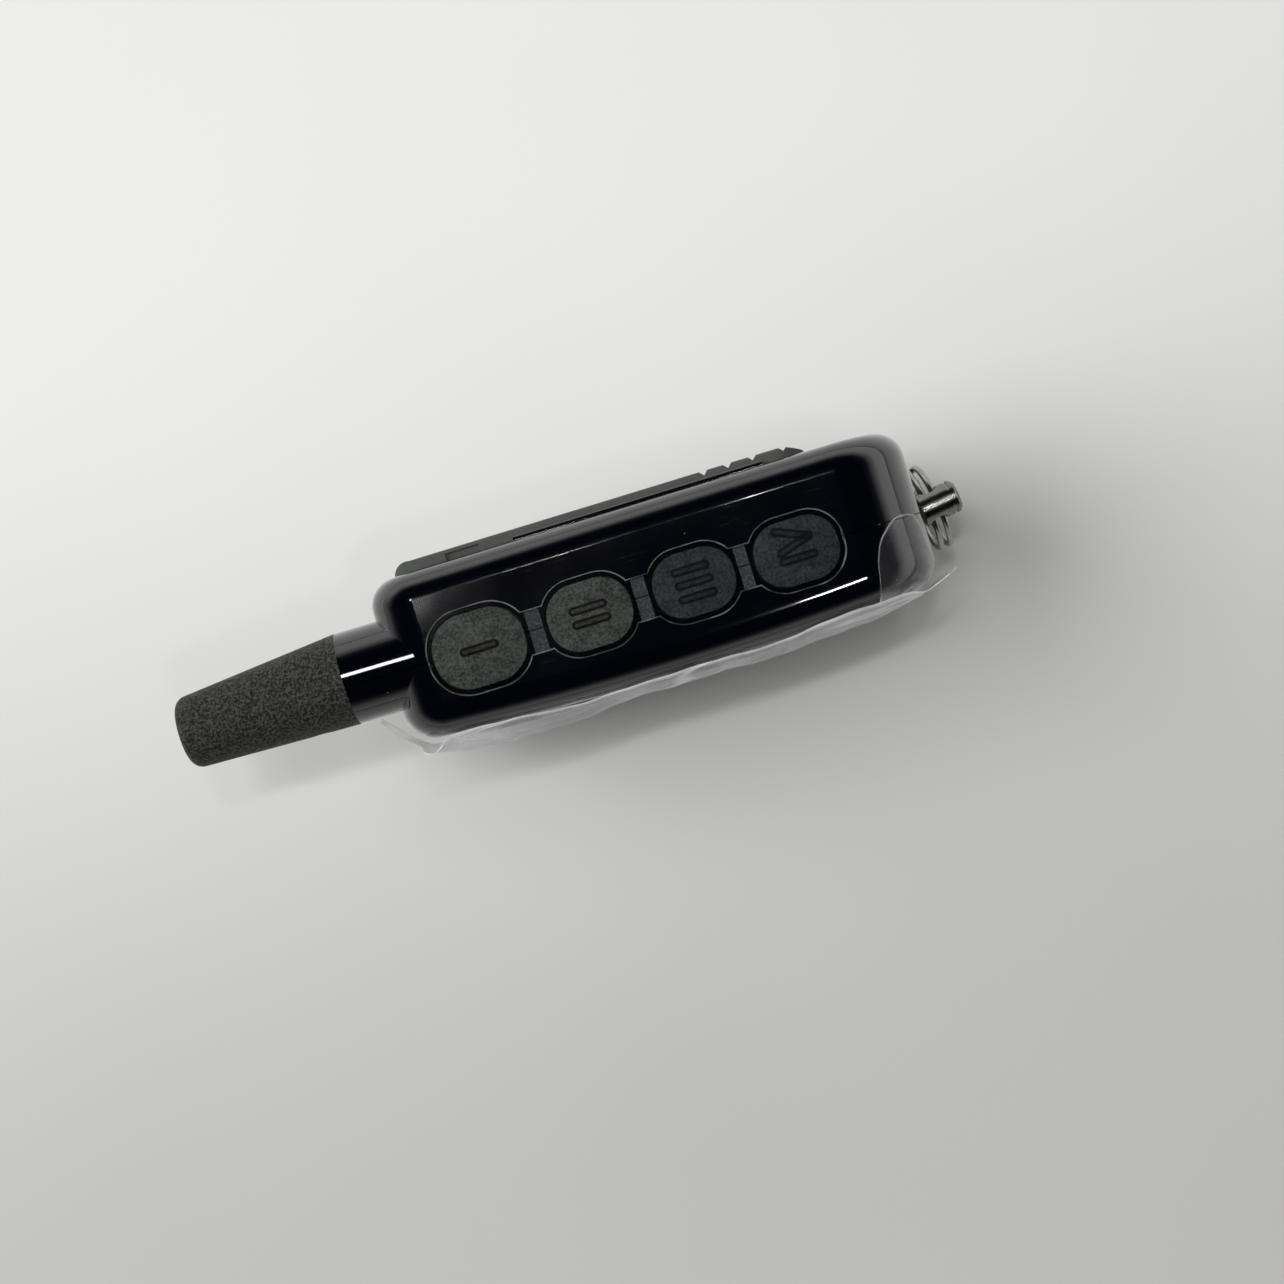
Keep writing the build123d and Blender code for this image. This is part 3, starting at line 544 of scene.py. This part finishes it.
def wave(x, share, size, run, climb, start):
    """The height of one wave of the film at a place along the fob and a share of the way up the sheet."""
    return size * math.sin(run * x + climb * share + start)


def held(value):
    """The value, kept between 0 and 1."""
    return max(0, min(1, value))


def edge_centre(x):
    """The depth of the centre of the case's rounded edge. It follows the slightly bowed front."""
    return edge_middle - front_bow * (x / case_half_length) ** 2


def grid_faces(start, columns, rows, turned=False):
    """The faces between points that were added column by column. Turned faces look the other way."""
    faces = []
    for column in range(columns):
        for row in range(rows):
            first = start + column * (rows + 1) + row
            face = (first, first + rows + 1, first + rows + 2, first + 1)
            faces.append((first, *face[:0:-1]) if turned else face)
    return faces


film_points = []
film_border = []
for column in range(film_columns + 1):
    x = film_places[0] + (film_places[-1] - film_places[0]) * column / film_columns
    depth = between(x, film_places, film_depths)
    top = between(x, film_top_places, film_tops)
    foot = between(x, film_foot_places, film_feet)
    end_distance = film_hem_step * min(column, film_columns - column)
    for row in range(film_rows + 1):
        share = row / film_rows
        z = foot + (top - foot) * share
        lift = share**3
        ripple = sum(wave(x, share, *row_wave) for row_wave in film_ripples)
        out = min(depth + lift * ripple + wave(x, share, *film_sway), film_deepest)
        lean = held((z - lean_start) / lean_height) * held((lean_end - abs(x)) / lean_fade)
        lean = lean * lean * (3 - 2 * lean)
        shoulder = edge_centre(x) + math.sqrt(edge_round**2 - max(0, z - edge_height) ** 2)
        out = out * (1 - lean) + (shoulder + film_stand_off + 0.5 * lift * ripple) * lean
        film_points.append((x * mm, -out * mm, z * mm))
        rim_distance = min(row, film_rows - row) * (top - foot) / film_rows
        film_border.append(max(0, 1 - min(rim_distance, end_distance) / film_hem))
film_faces = grid_faces(0, film_columns, film_rows)

# The sheet's corner at the ring end lies over the rounded corner of the case, with a reach back from the
# front face at each angle round it. It is a second surface, which overlaps the sheet without joining it.
corner_x = 22.3
corner_z = 29.0
corner_radius = 9.0
flap_angles = (18, 27, 38, 54, 70.5, 79, 84)
flap_reaches = (3.0, 8.0, 10.6, 10.9, 9.4, 6.9, 2.0)
flap_start = 1.0
flap_columns = 66
flap_rows = 30
flap_gap = 0.16
# The corner's one wave has a height, a run round the corner and a run back over it
flap_wave = (0.07, 0.16, 0.5)
flap_hem = 0.25
flap_hem_step = 0.15
film_faces += grid_faces(len(film_points), flap_columns, flap_rows, turned=True)
for column in range(flap_columns + 1):
    angle = flap_angles[0] + (flap_angles[-1] - flap_angles[0]) * column / flap_columns
    reach = between(angle, flap_angles, flap_reaches)
    turn = math.radians(angle)
    end_distance = flap_hem_step * min(column, flap_columns - column)
    for row in range(flap_rows + 1):
        back = flap_start + (reach - flap_start) * row / flap_rows
        gap = flap_gap + flap_wave[0] * math.sin(flap_wave[1] * angle + flap_wave[2] * back)
        bend = min(back / edge_round, math.pi / 2)
        radius = corner_radius - edge_round + (edge_round + gap) * math.sin(bend)
        x = corner_x + radius * math.cos(turn)
        z = corner_z + radius * math.sin(turn)
        straight = max(0, back - edge_round * math.pi / 2)
        y = straight - edge_centre(x) - (edge_round + gap) * math.cos(bend)
        film_points.append((x * mm, y * mm, z * mm))
        film_border.append(max(0, 1 - min(reach - back, end_distance) / flap_hem))

film_mesh = bpy.data.meshes.new("film")
film_mesh.from_pydata(film_points, [], film_faces)
film_mesh.shade_smooth()
border_values = film_mesh.attributes.new("border", "FLOAT", "POINT")
border_values.data.foreach_set("value", film_border)
film = bpy.data.objects.new("film", film_mesh)
bpy.context.scene.collection.objects.link(film)
thicken = film.modifiers.new("thickness", "SOLIDIFY")
thicken.thickness = film_thickness * mm
thicken.offset = 0
# The film hazes at its cut edge and where it stands off the case, and a painted sheen makes it paler where
# it turns away from the eye
clear = Finish("film_clear", ior=1.55, coat_weight=0.5, coat_roughness=0.05)
crease = clear.noise(5, detail=3.0, rough=0.6, stretch=(1, 1, 0.4))
cling = clear.noise(1.6).above(0.62, 0.06)
fold = (clear.noise(7, detail=1.0, stretch=(0.22, 1, 1)) - 0.5).size().below(0.012, 0.010)
slant = clear.node("ShaderNodeLayerWeight", {}, {"Blend": 0.35}, "Facing")
edge = clear.node("ShaderNodeAttribute", {"attribute_name": "border"}, {}, "Fac")
along, across, up = clear.axes()
on_case = across.above(clear_line, 0.6)
lifted = (up.above(haze_height, 1.2) + along.size().above(lean_end, 0.6) * 0.6) * (1 - 0.975 * on_case)
cloudy = lifted * (crease * 0.45 + fold * 0.4) + cling * 0.008 + 0.006
# Painted sheen: the sheet is painted paler the more it turns from the eye, standing in for its reflection
painted_grazing_sheen = slant * slant * slant * (0.85 - 0.62 * on_case)
clear.set(
    base_color=clear.mix(crease, *clear_tones),
    alpha=cloudy + painted_grazing_sheen + edge * (0.32 - 0.08 * on_case),
    roughness=0.05 + crease * 0.08,
)
clear.bump(crease, depth=0.12, strength=0.4)
film_mesh.materials.append(clear.material)
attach(film, "case")
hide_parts("protective_film")

# The lug: turned brass with dark chrome plating. Its neck turns in the wall of the case, and the ring
# passes through a cross hole in its barrel. Turning marks run round it.
chrome_tones = ((0.13, 0.13, 0.115), (0.30, 0.30, 0.275))
chrome = Finish("lug_chrome", metallic=1.0)
tarnish = chrome.noise(1.2, detail=3.0, rough=0.6)
turning = chrome.noise(0.12, stretch=(1, 0.05, 0.05))
chrome.set(base_color=chrome.mix(tarnish, *chrome_tones), roughness=0.12 + tarnish * 0.12 + turning * 0.05)
chrome.bump(turning, depth=0.01, strength=0.5)
dress(chrome, "ring_lug")

# The split ring: spring-steel wire wound in two turns and nickel plated, scuffed bright where keys rub.
# It hangs in the lug's cross hole.
grained(
    "ring_nickel", "split_ring",
    tones=((0.26, 0.26, 0.24), (0.50, 0.50, 0.48)),
    roughness=(0.16, 0.16), relief=(0.02, 0.5), grain=0.7, detail=3.0, rough=0.6, metallic=1.0,
)

# The board: glass-fibre laminate under green solder resist, with a faint weave and buried tracks. It
# stands behind the display, and the taller parts are soldered to its back.
resist_tones = ((0.010, 0.085, 0.035), (0.016, 0.11, 0.045))
track_tone = (0.03, 0.17, 0.07)
track_spacing = 3
board = Finish("board_green", ior=1.5)
weave = board.noise(0.5)
track_inputs = {"Vector": board.place, "Scale": 1 / (track_spacing * mm)}
track_inputs.update({"Mortar Size": 0.05, "Brick Width": 1.3, "Row Height": 0.5})
tracks = board.node("ShaderNodeTexBrick", {"offset": 0.37}, track_inputs, "Fac")
board.set(
    base_color=board.mix(tracks, board.mix(weave, *resist_tones), track_tone),
    roughness=0.32 + weave * 0.12,
)
board.bump(tracks + weave * 0.3, depth=0.03, strength=0.5)
dress(board, "main_board")

# The black moulded packages on the board: chips, the buzzer and the four side switches. All are filled
# epoxy or nylon with a fine dull grain.
grained(
    "chip_black", "board_chips", "buzzer", "side_switches",
    tones=((0.014, 0.014, 0.014), (0.030, 0.030, 0.029)),
    roughness=(0.5, 0.2), relief=(0.02, 0.5), grain=0.15, specular_ior_level=0.4,
)

# The plungers of the switches: pale nylon, slightly waxy. Each slides in its switch under the stem of
# its key.
grained(
    "plunger_nylon", "switch_plunger_1", "switch_plunger_2", "switch_plunger_3", "switch_plunger_4",
    tones=((0.62, 0.58, 0.48), (0.72, 0.68, 0.58)),
    roughness=(0.4, 0.15), relief=(0.01, 0.4), grain=0.3,
)

# The drawn cans of tinned or nickel-plated steel: radio shield, quartz crystal and motor. The rolling
# marks of the sheet run along them.
grained(
    "can_tinned", "radio_can", "quartz_crystal", "motor_can",
    tones=((0.50, 0.50, 0.49), (0.62, 0.62, 0.60)),
    roughness=(0.24, 0.14), relief=(0.01, 0.5), grain=0.3, along=0.1, metallic=1.0,
)

# The motor's weight: pressed and sintered tungsten alloy on a steel shaft, dull and faintly grainy. It
# is off centre, so it shakes the fob as it turns.
grained(
    "weight_steel", "motor_weight",
    tones=((0.22, 0.22, 0.22), (0.34, 0.34, 0.33)),
    roughness=(0.42, 0.15), relief=(0.02, 0.5), grain=0.2, detail=3.0, metallic=1.0,
)

# The cell: a steel can in a shrunk plastic wrap, with bare ends. The wrap is a plain two-colour band.
# It lies in the bay under the battery cover.
band_start = 8.5
bare_from = 19.15
bare_to = -23.9
wrap_black = (0.012, 0.013, 0.016)
wrap_copper = (0.50, 0.24, 0.07)
bare_steel = (0.6, 0.6, 0.58)
wrap = Finish("cell_wrap")
along = wrap.axes()[0]
band = along.above(band_start, 0.05)
bare = along.above(bare_from, 0.02) + along.below(bare_to, 0.02)
scuff = wrap.noise(2, detail=3.0)
wrap.set(
    base_color=wrap.mix(bare, wrap.mix(band, wrap_black, wrap_copper), bare_steel),
    metallic=bare,
    roughness=0.22 + scuff * 0.18,
)
wrap.bump(scuff, depth=0.02, strength=0.3)
dress(wrap, "battery_cell")

# The springy contacts of nickel-plated wire and strip: the spring and the plates that hold the cell
# between them, and the clip that joins the antenna's foot to the board.
grained(
    "contact_nickel", "battery_spring", "minus_contact", "plus_contact", "antenna_clip",
    tones=((0.48, 0.47, 0.44), (0.62, 0.60, 0.56)),
    roughness=(0.2, 0.18), relief=(0.01, 0.5), grain=0.6, detail=3.0, metallic=1.0,
)

# The antenna's foot and coil: turned brass and enamelled copper wire. The coil is hidden under the cap,
# and the foot's shank runs through the collar of the case.
grained(
    "foot_brass", "antenna_foot", "antenna_coil",
    tones=((0.42, 0.28, 0.10), (0.60, 0.43, 0.18)),
    roughness=(0.24, 0.16), relief=(0.01, 0.5), grain=0.9, detail=3.0, metallic=1.0,
)

# The four case screws: zinc-plated steel with crossed slots, sunk in the back shell. They thread into
# the bosses of the front shell.
grained(
    "screw_steel", "case_screws",
    tones=((0.42, 0.42, 0.42), (0.56, 0.56, 0.57)),
    roughness=(0.3, 0.18), relief=(0.02, 0.5), grain=0.4, detail=3.0, metallic=1.0,
)
